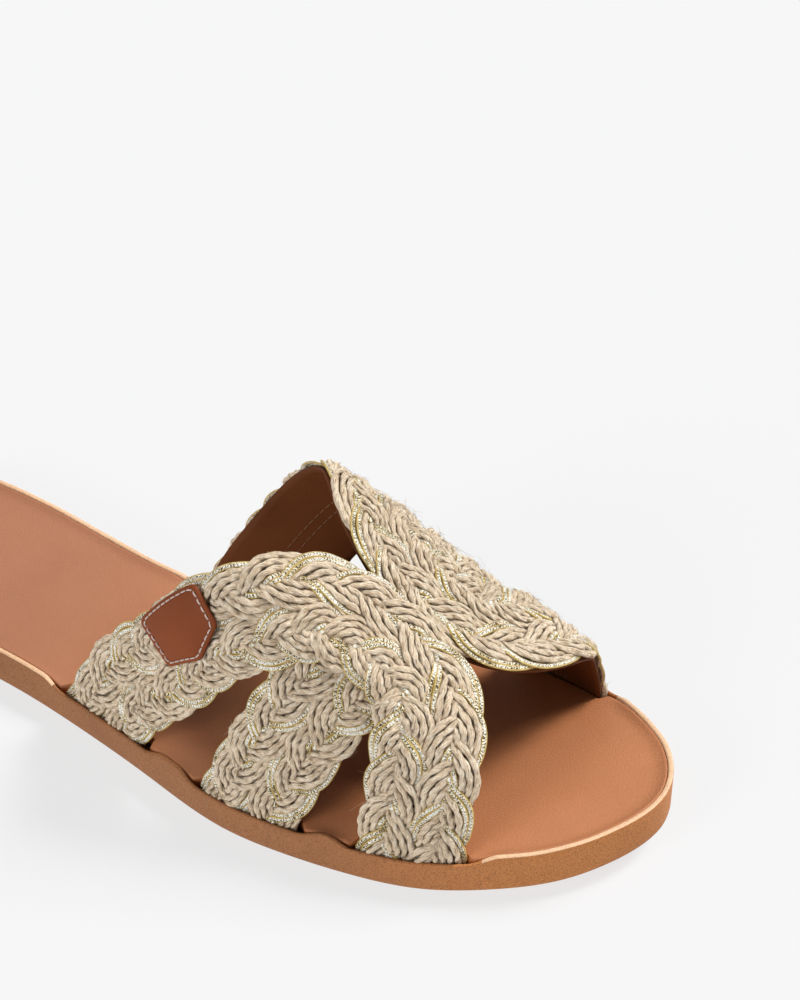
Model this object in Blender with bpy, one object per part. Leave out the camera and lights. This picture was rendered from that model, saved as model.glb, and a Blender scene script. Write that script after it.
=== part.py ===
"""A right rope sandal: cup outsole, leather footbed, braided upper of two crossed arches and a leather patch.

Tables and sizes are in millimetres, with X from heel to toe and +Y towards the inner side of the foot.
place() turns them into metres, with the origin under the middle of the sole.
"""

import bmesh
import bpy
import numpy as np

MM = 0.001

# Sole
LENGTH = 255.0
TOE_Y = 7.2
OUTLINE = (
    # x, lateral half width, medial half width
    (10, 20.4, 23.2),
    (25, 27.0, 28.0),
    (50, 29.9, 27.6),
    (80, 30.8, 23.5),
    (110, 34.9, 21.6),
    (135, 39.9, 26.0),
    (160, 44.8, 33.9),
    (180, 44.2, 40.7),
    (197, 41.8, 42.8),
    (213, 38.0, 42.1),
    (227, 31.2, 38.4),
    (239, 22.9, 31.9),
    (248, 12.5, 24.1),
)
OUTLINE_POINTS = 132
SPRING_FROM = 180.0  # the sole lies flat up to here
SPRING = 6.2  # height of the sole's underside at the toe
FLOOR = 6.0  # bottom of the cup that holds the footbed
RIM_TOP = 10.9
RIM_WALL = 2.2
RIM_DIP = 1.5  # the rim is pressed down beside each strap
RIM_LEAN = 0.4  # and out
EDGE = 0.8  # worn corner of the sole
GAP = 0.3
NOTCH_MARGIN = 1.0  # of the footbed's notches round the straps
NOTCH_SOFT = 3.0  # length over which a notch fades out
FOOTBED_TOP = 9.5
FOOTBED_EDGE = 0.8

# Last: the surface that the middle of the braids follows
RIDGE = (
    # x, height, y of the ridge
    (90, 105.0, 1.6),
    (110, 98.0, -0.2),
    (130, 91.0, -1.8),
    (150, 83.0, -2.9),
    (170, 72.5, -3.0),
    (190, 58.0, -1.4),
    (210, 46.5, 1.0),
    (225, 40.5, 3.0),
    (240, 36.0, 5.0),
)
SHOULDER = 0.34  # how much fuller than an ellipse each section is
LAST_FOOT = 8.5  # height where the last turns straight down
LAST_INSET = 3.0  # from the sole's edge to the last

# Braided straps: each is two flat braids side by side, laid along a route on the last.
# The angle goes round a section, from -90 at the lateral rim over the ridge to 90 at the medial rim.
BRAID_HALF = 6.9
PITCH = 12.0  # between strands on one side of a braid
SLANT = 11.0  # how far a strand runs while it crosses half a braid
WALL = 2.6  # of the braid below its raised strands
RAISED = 1.4
PEAK = 0.4  # of the raised strands above the last
ROWS = 4  # of the mesh in one pitch
COLUMNS = (
    # place across one braid, share of a strand's height there
    (-1.0, 0.3),
    (-0.72, 0.95),
    (-0.36, 1.0),
    (0.0, 0.62),
    (0.36, 1.0),
    (0.72, 0.95),
)
SINK_SAMPLES = (0.0, 0.3, 0.45, 0.62, 0.8, 1.0)
STRAPS = {
    # name: route as (x, angle), and how deep it lies under its neighbour at each sample of its length
    "lateral_arch": (
        ((109, -104), (124, -84.5), (140, -74), (153, -61.5), (165, -49.5), (174, -37), (181, -29),
         (192, -24.5), (202, -29), (207.5, -41), (209.6, -55), (210.4, -71), (210.5, -112)),
        (0, 0, 0, 0, 0, 0),
    ),
    "medial_arch": (
        ((111, 106), (127, 87), (141, 72.5), (153, 58), (163, 43), (171, 27), (180, 16.5),
         (192, 11), (202, 12), (209.5, 22), (212.5, 38), (211.5, 60), (209, 112)),
        (0, 0, 1.5, 1.5, 0, 0),
    ),
    "lateral_leg": (
        ((159, -105), (168.5, -88), (179.3, -68.3), (185, -54), (189, -42), (191.5, -30)),
        (0, 0, 0, 1.2, 2.2, 2.4),
    ),
    "medial_leg": (
        ((159, 105), (168.5, 88), (179.3, 68.3), (186, 50), (190, 36), (194, 16)),
        (0, 0, 0, 0.8, 2.2, 2.6),
    ),
}
ROUTE_SAMPLES = 400
STEPS_ACROSS = 8

# Patch on the lateral arch: corners as (x, angle) on the last
PATCH = ((133, -69), (147, -55), (155, -58), (151, -68), (142, -73))
PATCH_LIFT = 0.75
PATCH_THICK = 1.1
PATCH_EDGE = 0.3
PATCH_POINTS = 6  # along each side
PATCH_RINGS = (1.0, 0.96, 0.64, 0.32)


def smooth(knots, values, closed=False):
    """A function for the cubic spline through rows of values, natural at its ends or closed on itself."""
    knots = np.asarray(knots, float)
    values = np.asarray(values, float).reshape(len(knots), -1)
    last = len(knots) - 1
    step = np.diff(knots)
    slope = np.diff(values, axis=0) / step[:, None]
    system = np.zeros((last + 1, last + 1))
    known = np.zeros_like(values)
    for i in range(1, last):
        system[i, i - 1 : i + 2] = step[i - 1], 2 * (step[i - 1] + step[i]), step[i]
        known[i] = 6 * (slope[i] - slope[i - 1])
    if closed:
        system[0, [0, last]] = 1, -1
        system[last, [0, 1]] = 2 * step[0], step[0]
        system[last, [last - 1, last]] = step[-1], 2 * step[-1]
        known[last] = 6 * (slope[0] - slope[-1])
    else:
        system[0, 0] = system[last, last] = 1
    bend = np.linalg.solve(system, known)

    def at(place):
        place = np.asarray(place, float)
        i = np.clip(np.searchsorted(knots, place, side="right") - 1, 0, last - 1)
        after = (place - knots[i])[..., None]
        before = (knots[i + 1] - place)[..., None]
        width = step[i][..., None]
        curve = (bend[i] * before**3 + bend[i + 1] * after**3) / (6 * width)
        curve += (values[i] / width - bend[i] * width / 6) * before
        curve += (values[i + 1] / width - bend[i + 1] * width / 6) * after
        return curve if values.shape[1] > 1 else curve[..., 0]

    return at


def ease(value):
    value = np.clip(value, 0, 1)
    return value * value * (3 - 2 * value)


def sole_outline(count):
    """Points round the sole from the heel, along the lateral side, round the toe and back."""
    lateral = [(x, -half) for x, half, _ in OUTLINE]
    medial = [(x, half) for x, _, half in reversed(OUTLINE)]
    points = np.array([(0, 0)] + lateral + [(LENGTH, TOE_Y)] + medial + [(0, 0)], float)
    knots = np.r_[0, np.cumsum(np.linalg.norm(np.diff(points, axis=0), axis=1) ** 0.5)]
    return smooth(knots, points, closed=True)(np.linspace(0, knots[-1], count + 1)[:-1])


EDGE_POINTS = sole_outline(600)
TOE_AT = int(EDGE_POINTS[:, 0].argmax())
CENTRE = (EDGE_POINTS.min(axis=0) + EDGE_POINTS.max(axis=0)) / 2


def lateral_edge(x):
    side = EDGE_POINTS[: TOE_AT + 1]
    return np.interp(x, side[:, 0], side[:, 1])


def medial_edge(x):
    side = EDGE_POINTS[TOE_AT:][::-1]
    return np.interp(x, side[:, 0], side[:, 1])


def spring(x):
    return SPRING * np.clip((np.asarray(x, float) - SPRING_FROM) / (LENGTH - SPRING_FROM), 0, None) ** 2


ridge = smooth([row[0] for row in RIDGE], [row[1:] for row in RIDGE])


def last_point(x, angle):
    """The last's surface at a length and an angle in radians. Past 90 degrees it runs straight down."""
    height, middle = np.moveaxis(ridge(x), -1, 0)
    half = np.where(angle < 0, middle - lateral_edge(x), medial_edge(x) - middle) - LAST_INSET
    foot = LAST_FOOT + spring(x)
    turn = np.minimum(np.abs(angle), np.pi / 2)
    past = np.abs(angle) - turn
    y = middle + np.where(angle < 0, -1, 1) * half * np.sin(turn)
    z = foot + (height - foot) * (np.cos(turn) * (1 + SHOULDER * np.sin(turn) ** 2) - past * (1 + SHOULDER))
    return np.stack(np.broadcast_arrays(x, y, z), axis=-1)


def last_frame(x, angle):
    """Slopes of the last along x and along the angle, and its outward normal."""
    along = last_point(x + 0.5, angle) - last_point(x - 0.5, angle)
    round_it = (last_point(x, angle + 1e-3) - last_point(x, angle - 1e-3)) / 2e-3
    normal = np.cross(along, round_it)
    return along, round_it, normal / np.linalg.norm(normal, axis=-1, keepdims=True)


def unit(vectors):
    return vectors / np.linalg.norm(vectors, axis=-1, keepdims=True)


class Strap:
    """A route on the last, measured by its arc length, with places to either side of it."""

    def __init__(self, route, sink):
        route = np.array(route, float)
        knots = np.r_[0, np.cumsum(np.linalg.norm(np.diff(route, axis=0), axis=1))]
        self.route = smooth(knots, np.c_[route[:, 0], np.radians(route[:, 1])])
        self.knots = np.linspace(0, knots[-1], ROUTE_SAMPLES)
        points = last_point(*self.route(self.knots).T)
        self.lengths = np.r_[0, np.cumsum(np.linalg.norm(np.diff(points, axis=0), axis=1))]
        self.length = self.lengths[-1]
        self.sink = sink

    def point(self, along, across, lift):
        """A point at an arc length, a distance to one side and a height above the last."""
        along, across, lift = np.broadcast_arrays(along, across, lift)
        knot = np.interp(along, self.lengths, self.knots)
        x, angle = np.moveaxis(self.route(knot), -1, 0)
        ahead = last_point(*np.moveaxis(self.route(knot + 0.1), -1, 0))
        normal = last_frame(x, angle)[2]
        side = unit(np.cross(normal, ahead - last_point(x, angle)))
        for _ in range(STEPS_ACROSS):
            move = side * (across / STEPS_ACROSS)[..., None]
            slope_x, slope_angle, _ = last_frame(x, angle)
            xx = (slope_x**2).sum(-1)
            xa = (slope_x * slope_angle).sum(-1)
            aa = (slope_angle**2).sum(-1)
            move_x = (move * slope_x).sum(-1)
            move_angle = (move * slope_angle).sum(-1)
            x = x + (aa * move_x - xa * move_angle) / (xx * aa - xa * xa)
            angle = angle + (xx * move_angle - xa * move_x) / (xx * aa - xa * xa)
            normal = last_frame(x, angle)[2]
            side = unit(side - (side * normal).sum(-1, keepdims=True) * normal)
        depth = smooth(SINK_SAMPLES, self.sink)(along / self.length)
        return last_point(x, angle) + normal * (lift - np.clip(depth, 0, None))[..., None]


def strap_columns():
    """Places across the two braids, with each one's slant, share of height and side of its braid."""
    columns = []
    for braid in (-1, 1):
        for place, share in COLUMNS:
            columns.append((BRAID_HALF * (braid + place), abs(place), share, place > 0))
    columns.append((2 * BRAID_HALF, 1.0, COLUMNS[0][1], True))
    return columns


def strap_loops(strap):
    """Rings of points round a strap. Rows follow the slant of the strands, so each strand has clean edges."""
    columns = strap_columns()
    count = int((strap.length - SLANT) / (PITCH / ROWS))
    starts = np.arange(count + 1) * (PITCH / ROWS)
    rows = np.arange(count + 1)
    outer = []
    for across, slant, share, right in columns:
        part = (rows + (ROWS // 2 if right else 0)) % ROWS / ROWS
        crown = np.sin(np.pi * part) ** 0.6
        if slant == 0:
            crown = np.ones(count + 1)
        lift = PEAK - RAISED + RAISED * share * crown
        outer.append(strap.point(starts + SLANT * slant, across, lift))
    inner = []
    for across, slant, _, _ in columns[::-3]:
        inner.append(strap.point(starts + SLANT * slant, across * 0.94, PEAK - RAISED - WALL))
    return np.stack(outer + inner, axis=1), len(outer)


def place(points):
    points = np.array(points, float)
    points[..., :2] -= CENTRE
    return points * MM


def new_object(name, points, faces, material):
    mesh = bpy.data.meshes.new(name)
    mesh.from_pydata(place(points).tolist(), [], faces)
    body = bmesh.new()
    body.from_mesh(mesh)
    bmesh.ops.recalc_face_normals(body, faces=body.faces)
    body.to_mesh(mesh)
    body.free()
    mesh.materials.append(material)
    made = bpy.data.objects.new(name, mesh)
    bpy.context.scene.collection.objects.link(made)
    return made


def new_material(name, colour, roughness):
    material = bpy.data.materials.new(name)
    material.use_nodes = True
    shader = material.node_tree.nodes["Principled BSDF"]
    shader.inputs["Base Color"].default_value = (*colour, 1)
    shader.inputs["Roughness"].default_value = roughness
    shader.inputs["Metallic"].default_value = 0
    return material


def braided_strap(name, strap, material):
    loops, outer = strap_loops(strap)
    count, around = loops.shape[:2]
    faces = []
    for row in range(count - 1):
        for i in range(around):
            j = (i + 1) % around
            faces.append([row * around + i, row * around + j, (row + 1) * around + j, (row + 1) * around + i])
    for row in (0, count - 1):
        for i in range(around - outer - 1):
            top = [row * around + k for k in range(3 * i, 3 * i + 4)]
            under = [row * around + around - 1 - k for k in (i + 1, i)]
            faces.append(top + under)
    return new_object(name, loops.reshape(-1, 3), faces, material)


def ladder(start, count):
    """Faces that fill a ring from its heel end to its toe end."""
    half = count // 2
    rungs = [(start + i, start + (count - i) % count) for i in range(half + 1)]
    faces = []
    for (a, b), (c, d) in zip(rungs, rungs[1:]):
        faces.append([k for k in dict.fromkeys((a, c, d, b))])
    return faces


def stacked_rings(name, rings, material):
    """A closed solid from rings of equal count, filled at both ends."""
    count = len(rings[0])
    faces = ladder(0, count) + ladder((len(rings) - 1) * count, count)
    for ring in range(len(rings) - 1):
        for i in range(count):
            j = (i + 1) % count
            faces.append([ring * count + i, ring * count + j, (ring + 1) * count + j, (ring + 1) * count + i])
    return new_object(name, np.concatenate(rings), faces, material)


def leg_spans(straps):
    """Where each strap goes down beside the footbed: side, rear x and front x."""
    spans = []
    for strap in straps.values():
        along = np.linspace(0, strap.length, ROUTE_SAMPLES)
        edges = np.stack([strap.point(along, side * 2 * BRAID_HALF, 0.0) for side in (-1, 1)])
        low = (edges[..., 2] > FLOOR) & (edges[..., 2] < RIM_TOP + 1.5)
        for end in (along < strap.length / 2, along > strap.length / 2):
            found = edges[low & end]
            if len(found):
                rear, front = found[:, 0].min(), found[:, 0].max()
                spans.append((np.sign(found[0, 1]), rear - NOTCH_MARGIN, front + NOTCH_MARGIN))
    return spans


def beside_leg(points, spans, soft):
    """1 where a point of the outline is beside a leg, falling to 0 over a soft length."""
    near = np.zeros(len(points))
    for side, rear, front in spans:
        inside = np.minimum(points[:, 0] - rear, front - points[:, 0])
        near = np.maximum(near, ease(inside / soft + 1) * (np.sign(points[:, 1]) == side))
    return near


def inset_ring(points, distance, height):
    ahead = np.roll(points, -1, axis=0) - np.roll(points, 1, axis=0)
    inward = unit(np.stack([-ahead[:, 1], ahead[:, 0]], axis=1))
    moved = points + inward * np.broadcast_to(distance, len(points))[:, None]
    return np.c_[moved, np.broadcast_to(height, len(points)) + spring(moved[:, 0])]


def outsole(points, spans, material):
    leg = beside_leg(points, spans, 5.0)
    top = RIM_TOP - RIM_DIP * leg
    lean = -RIM_LEAN * leg
    return stacked_rings("outsole", [
        inset_ring(points, EDGE, 0),
        inset_ring(points, 0, EDGE),
        inset_ring(points, lean, top - 0.7),
        inset_ring(points, lean + 0.5, top),
        inset_ring(points, lean + RIM_WALL - 0.5, top),
        inset_ring(points, RIM_WALL + lean / 2, top - 0.6),
        inset_ring(points, RIM_WALL, FLOOR),
    ], material)


def footbed(points, spans, material):
    leg_depth = LAST_INSET - PEAK + RAISED + WALL - (RIM_WALL + GAP)
    edge = RIM_WALL + GAP + (leg_depth + NOTCH_MARGIN) * beside_leg(points, spans, NOTCH_SOFT)
    return stacked_rings("footbed", [
        inset_ring(points, edge + 0.4, FLOOR + GAP),
        inset_ring(points, edge, FLOOR + GAP + 0.4),
        inset_ring(points, edge, FOOTBED_TOP - FOOTBED_EDGE),
        inset_ring(points, edge + FOOTBED_EDGE, FOOTBED_TOP),
    ], material)


def add_boolean(target, other, operation):
    other.hide_render = True
    other.display_type = "WIRE"
    boolean = target.modifiers.new(other.name, "BOOLEAN")
    boolean.operation = operation
    boolean.solver = "EXACT"
    boolean.object = other


def upper(straps, points, material):
    """The straps joined where they cross, cut off just above the floor of the cup."""
    pieces = [braided_strap(name, strap, material) for name, strap in straps.items()]
    joined = pieces[0]
    joined.name = "upper"
    for piece in pieces[1:]:
        add_boolean(joined, piece, "UNION")
    below = stacked_rings("below_straps", [
        inset_ring(points, -10, -45),
        inset_ring(points, -10, FLOOR + GAP),
    ], material)
    add_boolean(joined, below, "DIFFERENCE")
    return joined


def patch(material):
    """A five-sided leather patch that lies on the braids."""
    corners = np.array(PATCH, float)
    ring = []
    for start, end in zip(corners, np.roll(corners, -1, axis=0)):
        ring += [start + (end - start) * k / PATCH_POINTS for k in range(PATCH_POINTS)]
    ring = np.array(ring)
    middle = ring.mean(axis=0)

    def layer(share, lift):
        spot = middle + (ring - middle) * share
        x, angle = spot[:, 0], np.radians(spot[:, 1])
        return last_point(x, angle) + last_frame(x, angle)[2] * lift

    top = PATCH_LIFT + PATCH_THICK
    lifts = [(share, PATCH_LIFT) for share in PATCH_RINGS[::-1]]
    lifts += [(PATCH_RINGS[0], top - PATCH_EDGE)] + [(share, top) for share in PATCH_RINGS[1:]]
    rings = [layer(share, lift) for share, lift in lifts]
    count = len(ring)
    ends = [layer(0, PATCH_LIFT)[:1], layer(0, top)[:1]]
    faces = []
    for row in range(len(rings) - 1):
        for i in range(count):
            j = (i + 1) % count
            faces.append([row * count + i, row * count + j, (row + 1) * count + j, (row + 1) * count + i])
    for row, tip in ((0, len(rings) * count), (len(rings) - 1, len(rings) * count + 1)):
        faces += [[row * count + i, row * count + (i + 1) % count, tip] for i in range(count)]
    return new_object("badge", np.concatenate(rings + ends), faces, material)


def main():
    for old in list(bpy.data.objects):
        bpy.data.objects.remove(old, do_unlink=True)
    straps = {name: Strap(route, sink) for name, (route, sink) in STRAPS.items()}
    points = sole_outline(OUTLINE_POINTS)
    spans = leg_spans(straps)
    shoe = bpy.data.objects.new("sandal", None)
    bpy.context.scene.collection.objects.link(shoe)
    parts = [
        outsole(points, spans, new_material("tan_sole", (0.36, 0.17, 0.075), 0.6)),
        footbed(points, spans, new_material("tan_leather", (0.45, 0.20, 0.10), 0.45)),
        upper(straps, points, new_material("rope_braid", (0.42, 0.33, 0.22), 0.85)),
        patch(new_material("brown_leather", (0.24, 0.07, 0.027), 0.5)),
    ]
    for part in parts:
        part.parent = shoe


main()
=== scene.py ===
"""Looks of the right rope sandal: yarns and metallic cords, lining, leathers, sole, floor, light and camera.

Tables and sizes are in millimetres, with X from heel to toe and +Y towards the inner side of the foot.
place() turns them into the frame's metres, with the origin under the middle of the sole.
"""

import math

import bpy
import numpy as np
from mathutils import Matrix, Vector


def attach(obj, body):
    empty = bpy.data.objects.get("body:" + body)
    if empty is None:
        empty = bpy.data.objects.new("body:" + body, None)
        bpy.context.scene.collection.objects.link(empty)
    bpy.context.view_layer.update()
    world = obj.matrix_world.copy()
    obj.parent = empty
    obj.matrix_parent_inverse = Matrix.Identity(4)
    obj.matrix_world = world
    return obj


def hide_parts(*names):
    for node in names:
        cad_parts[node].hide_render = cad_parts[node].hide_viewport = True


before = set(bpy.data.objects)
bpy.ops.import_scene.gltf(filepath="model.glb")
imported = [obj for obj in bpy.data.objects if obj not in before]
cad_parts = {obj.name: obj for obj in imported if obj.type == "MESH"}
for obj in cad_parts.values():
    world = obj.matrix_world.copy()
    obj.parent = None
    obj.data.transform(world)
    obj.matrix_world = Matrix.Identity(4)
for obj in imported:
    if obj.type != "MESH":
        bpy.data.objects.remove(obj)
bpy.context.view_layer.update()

MM = 0.001

# Sole
LENGTH = 255.0
TOE_Y = 7.2
OUTLINE = (
    # x, lateral half width, medial half width
    (10, 20.4, 23.2),
    (25, 27.0, 28.0),
    (50, 29.9, 27.6),
    (80, 30.8, 23.5),
    (110, 34.9, 21.6),
    (135, 39.9, 26.0),
    (160, 44.8, 33.9),
    (180, 44.2, 40.7),
    (197, 41.8, 42.8),
    (213, 38.0, 42.1),
    (227, 31.2, 38.4),
    (239, 22.9, 31.9),
    (248, 12.5, 24.1),
)
OUTLINE_POINTS = 480
SPRING_FROM, SPRING = 180.0, 6.2
FLOOR = 6.0
RIM_TOP, RIM_DIP, RIM_LEAN = 10.9, 1.9, 0.4
RIM_WALL, RIM_WALL_BY_LEG = 1.35, 1.0
GAP = 0.3
NOTCH_MARGIN, NOTCH_SOFT, NOTCH_CLEAR = 0.1, 1.0, 0.15
FOOTBED_TOP = 9.5
LINING_TOP, LINING_UNDER = -2.5, -3.2  # from the last
LINING_INSIDE = 0.7  # how far its edge lies inside the edge of the strap
LINING_ROWS = (-1.3, 1.3)  # places of its two rows of stitches across the strap
EDGE_SAMPLES = 600
ROUND_SOLE = 640.0  # roughly the way round it
RIM_SOFT = 7.0  # length over which the rim dips towards a leg
RIM_WAVE, RIM_WAVES = 0.1, (17.0, 41.0)  # height and lengths of its unevenness
LIGHT_RIM = 0.6  # the rim's edge is light where it dips less than this share
LEG_BELOW, LEG_ABOVE = 2.0, 0.6  # heights round the footbed's top between which a leg needs its notch
SIDE_FROM, SIDE_BELOW_TOP = 1.2, 0.55  # the sole's straight side
SOLE_FOOT = (
    # inset, height
    (1.1, 0),
    (0.5, 0.12),
    (0.12, 0.5),
)
RIM_OUTER = (
    # inset from outside, distance below the top
    (0.07, 0.32),
    (0.2, 0.12),
    (0.35, 0.03),
    (0.5, 0),
)
RIM_INNER = (
    # distance from the inner face, distance below the top
    (0.35, 0),
    (0.15, 0.06),
    (0.0, 0.35),
)
RIM_LEANS_BY = 1.2  # distance below the top where the rim's inner face has half of its lean
FOOTBED_CLEAR, FOOTBED_CHAMFER, FOOTBED_BELOW_RIM = 0.05, 0.4, 0.25
FOOTBED_SOFT = 9.0  # length over which it falls from the rim towards a leg
FOOTBED_EDGE = (
    # inset, distance below the top, share of the rise to the rim
    (0, 0.5, 1),
    (0.12, 0.2, 1),
    (0.35, 0.04, 1),
    (0.7, 0, 0.86),
    (1.2, 0, 0.62),
    (1.8, 0, 0.38),
    (2.5, 0, 0.18),
    (3.3, 0, 0.05),
    (4.4, 0, 0),
)

# Last
RIDGE = (
    # x, height, y of the ridge
    (90, 105.0, 1.6),
    (110, 98.0, -0.2),
    (130, 91.0, -1.8),
    (150, 83.0, -2.9),
    (170, 72.5, -3.0),
    (190, 58.0, -1.4),
    (210, 46.5, 1.0),
    (225, 40.5, 3.0),
    (240, 36.0, 5.0),
)
SHOULDER, LAST_FOOT, LAST_INSET = 0.34, 8.5, 3.0
PRESSED, PRESSED_FROM = 2.3, 16.0  # how far the straps are pressed out to the rim, and from what height

# Straps, each of two flat braids of three strands
BRAID_HALF = 6.9
SINK_SAMPLES = (0.0, 0.3, 0.45, 0.62, 0.8, 1.0)
STRAPS = {
    # name: route as (x, angle), and how deep it lies under its neighbour at each sample of its length
    "lateral_arch": (
        ((109, -104), (124, -84.5), (140, -74), (153, -61.5), (165, -49.5), (174, -37), (181, -29),
         (192, -24.5), (202, -29), (207.5, -41), (209.6, -55), (210.4, -71), (210.5, -112)),
        (0, 0, 0, 0, 0, 0),
    ),
    "medial_arch": (
        ((111, 106), (127, 87), (141, 72.5), (153, 58), (163, 43), (171, 27), (180, 16.5),
         (192, 11), (202, 12), (209.5, 22), (212.5, 38), (211.5, 60), (209, 112)),
        (0, 0, 1.5, 1.5, 0, 0),
    ),
    "lateral_leg": (
        ((159, -105), (168.5, -88), (179.3, -68.3), (185, -54), (189, -42), (191.5, -30)),
        (0, 0, 0, 1.2, 2.2, 2.4),
    ),
    "medial_leg": (
        ((159, 105), (168.5, 88), (179.3, 68.3), (186, 50), (190, 36), (194, 16)),
        (0, 0, 0, 0.8, 2.2, 2.6),
    ),
}
ROUTE_SAMPLES = 400
STEPS_ACROSS = 6

# Strands: J is a twisted jute yarn and M a metallic cord, in the order they lie across the strand
BRAID_MIDDLE, BRAID_REACH = 6.3, 7.6  # of each braid: the two interlock along the middle of the strap
STRAND_PERIOD = 31.5
STRANDS = ("JJJMM", "MJJJJ", "MMJJJ")
JUTE_RADIUS = 1.0
METAL_RADIUS, METAL_FLAT = 0.76, 0.55
PACKING = 0.84  # cords in a strand press into each other
DOME = 0.55  # how far the middle of a strand stands over its edges
LAYER = 0.95  # height of a strand over or under the middle of its braid
MIDDLE = -1.4  # of the braid, from the last
SQUARENESS = 0.3  # how long a strand keeps near the edge of its braid
TAPER = 0.22  # how much narrower a strand is where it goes under than where it is on top
TAPER_EVEN = 0.7  # how far on top a strand has its plain width, from 0 to 1
LEAD = 0.2  # how much earlier the outer cords of a strand rise, per millimetre
UNDER_SHARE = 0.5  # of LAYER that a strand sinks where it goes under
DRIFT_ACROSS, DRIFT_UP = 0.16, 0.14  # how far a cord strays
THICK_DRIFT, THICK_DRIFTS = 0.09, (5.0, 13.0)  # share and lengths of a yarn's unevenness
CORD_STEP = 0.6
PLY_PITCH, PLY_RADIUS, PLY_FLAT = 5.6, 0.7, 0.9
PITCH_RANGE = (0.88, 1.12)
THIN_SIDES, METAL_SIDES, HAIR_SIDES = 6, 8, 3
HAIRS_PER_MM = 9
LEG_END = 7.2  # height where the cords end, down in the slot
FLARES = {
    # name: how much wider the strap is at its first end, over what length, and the same at its last end
    "lateral_arch": (0.25, 28.0, 0.06, 15.0),
    "medial_arch": (0.22, 45.0, 0.05, 15.0),
    "lateral_leg": (0.1, 15.0, 0.0, 15.0),
    "medial_leg": (0.1, 15.0, 0.0, 15.0),
}

# Patch on the lateral arch: x and angle of each corner
PATCH = ((132.5, -68.8), (148.3, -52.9), (156.6, -57.3), (153.4, -66.3), (143.3, -72.5))
PATCH_LIFT, PATCH_THICK = 0.75, 1.1
PATCH_UNDER = (
    # share of the way from the middle to the edge, height over the underside
    (0.0, 0),
    (0.5, 0),
    (0.99, 0),
    (1.0, 0.2),
)
PATCH_TOP = (
    # share of the way from the middle to the edge, height over the top
    (1.0, -0.35),
    (0.985, -0.1),
    (0.96, 0),
    (0.905, -0.02),
    (0.885, -0.16),
    (0.865, -0.02),
    (0.8, 0.1),
    (0.6, 0.16),
    (0.35, 0.14),
    (0.0, 0.12),
)
FURROW = 0.885  # the stitches' share of the way from the middle to the edge
PATCH_STITCH_PITCH, PATCH_STITCH_LENGTH, PATCH_STITCH_RADIUS = 2.0, 1.45, 0.2

# Camera, fitted to the photograph. Its place is measured from the heel.
CAMERA_FOCAL = 2423.64  # pixels, in a picture 1000 pixels high
CAMERA_AT = (422.73, -388.09, 419.62)
CAMERA_AZIMUTH, CAMERA_ELEVATION, CAMERA_ROLL = 31.584, 36.576, 0.515
PICTURE_HEIGHT, SENSOR = 1000, 36.0

# Looks
LEATHERS = {
    # name: darker tone, lighter tone, scale of the grain, roughness, depth of the grain, shine
    "lining_leather": ((0.10, 0.030, 0.008), (0.15, 0.046, 0.013), 900.0, 0.62, 0.35, 0.15),
    "speckled_sole": ((0.45, 0.170, 0.047), (0.55, 0.212, 0.060), 2200.0, 0.6, 0.5, 0.3),
    "cut_rim": ((0.70, 0.43, 0.25), (0.80, 0.53, 0.33), 1500.0, 0.6, 0.2, 0.5),
    "footbed_leather": ((0.435, 0.176, 0.080), (0.495, 0.202, 0.093), 1000.0, 0.5, 0.9, 0.25),
    "patch_leather": ((0.165, 0.036, 0.008), (0.235, 0.056, 0.013), 900.0, 0.5, 0.35, 0.15),
}
LIGHTS = {
    # name: shares from the camera's right, from behind the shoe and from above, strength, angle, colour
    "key": (0.8, 0.35, 0.95, 3.0, 26, (1.0, 0.995, 0.98)),
    "glint": (0.7, 0.25, 1.0, 1.0, 10, (1.0, 0.995, 0.98)),
    "fill": (-0.7, -0.7, 0.4, 1.8, 30, (1, 1, 1)),
}
FLOOR_HALF, FLOOR_GLOW, SURROUNDING = 4000.0, 0.72, 0.22


def smooth(knots, values, closed=False):
    """A function for the cubic spline through rows of values, natural at its ends or closed on itself."""
    knots = np.asarray(knots, float)
    values = np.asarray(values, float).reshape(len(knots), -1)
    last = len(knots) - 1
    step = np.diff(knots)
    slope = np.diff(values, axis=0) / step[:, None]
    system = np.zeros((last + 1, last + 1))
    known = np.zeros_like(values)
    for i in range(1, last):
        system[i, i - 1 : i + 2] = step[i - 1], 2 * (step[i - 1] + step[i]), step[i]
        known[i] = 6 * (slope[i] - slope[i - 1])
    if closed:
        system[0, [0, last]] = 1, -1
        system[last, [0, 1]] = 2 * step[0], step[0]
        system[last, [last - 1, last]] = step[-1], 2 * step[-1]
        known[last] = 6 * (slope[0] - slope[-1])
    else:
        system[0, 0] = system[last, last] = 1
    bend = np.linalg.solve(system, known)

    def at(where):
        where = np.asarray(where, float)
        i = np.clip(np.searchsorted(knots, where, side="right") - 1, 0, last - 1)
        after = (where - knots[i])[..., None]
        before = (knots[i + 1] - where)[..., None]
        width = step[i][..., None]
        curve = (bend[i] * before**3 + bend[i + 1] * after**3) / (6 * width)
        curve += (values[i] / width - bend[i] * width / 6) * before
        curve += (values[i + 1] / width - bend[i + 1] * width / 6) * after
        return curve if values.shape[1] > 1 else curve[..., 0]

    return at


def ease(value):
    value = np.clip(value, 0, 1)
    return value * value * (3 - 2 * value)


def unit(vectors):
    return vectors / np.linalg.norm(vectors, axis=-1, keepdims=True)


def sole_outline(count):
    """Points round the sole from the heel, along the lateral side, round the toe and back."""
    lateral = [(x, -half) for x, half, _ in OUTLINE]
    medial = [(x, half) for x, _, half in reversed(OUTLINE)]
    points = np.array([(0, 0)] + lateral + [(LENGTH, TOE_Y)] + medial + [(0, 0)], float)
    knots = np.r_[0, np.cumsum(np.linalg.norm(np.diff(points, axis=0), axis=1) ** 0.5)]
    return smooth(knots, points, closed=True)(np.linspace(0, knots[-1], count + 1)[:-1])


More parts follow.
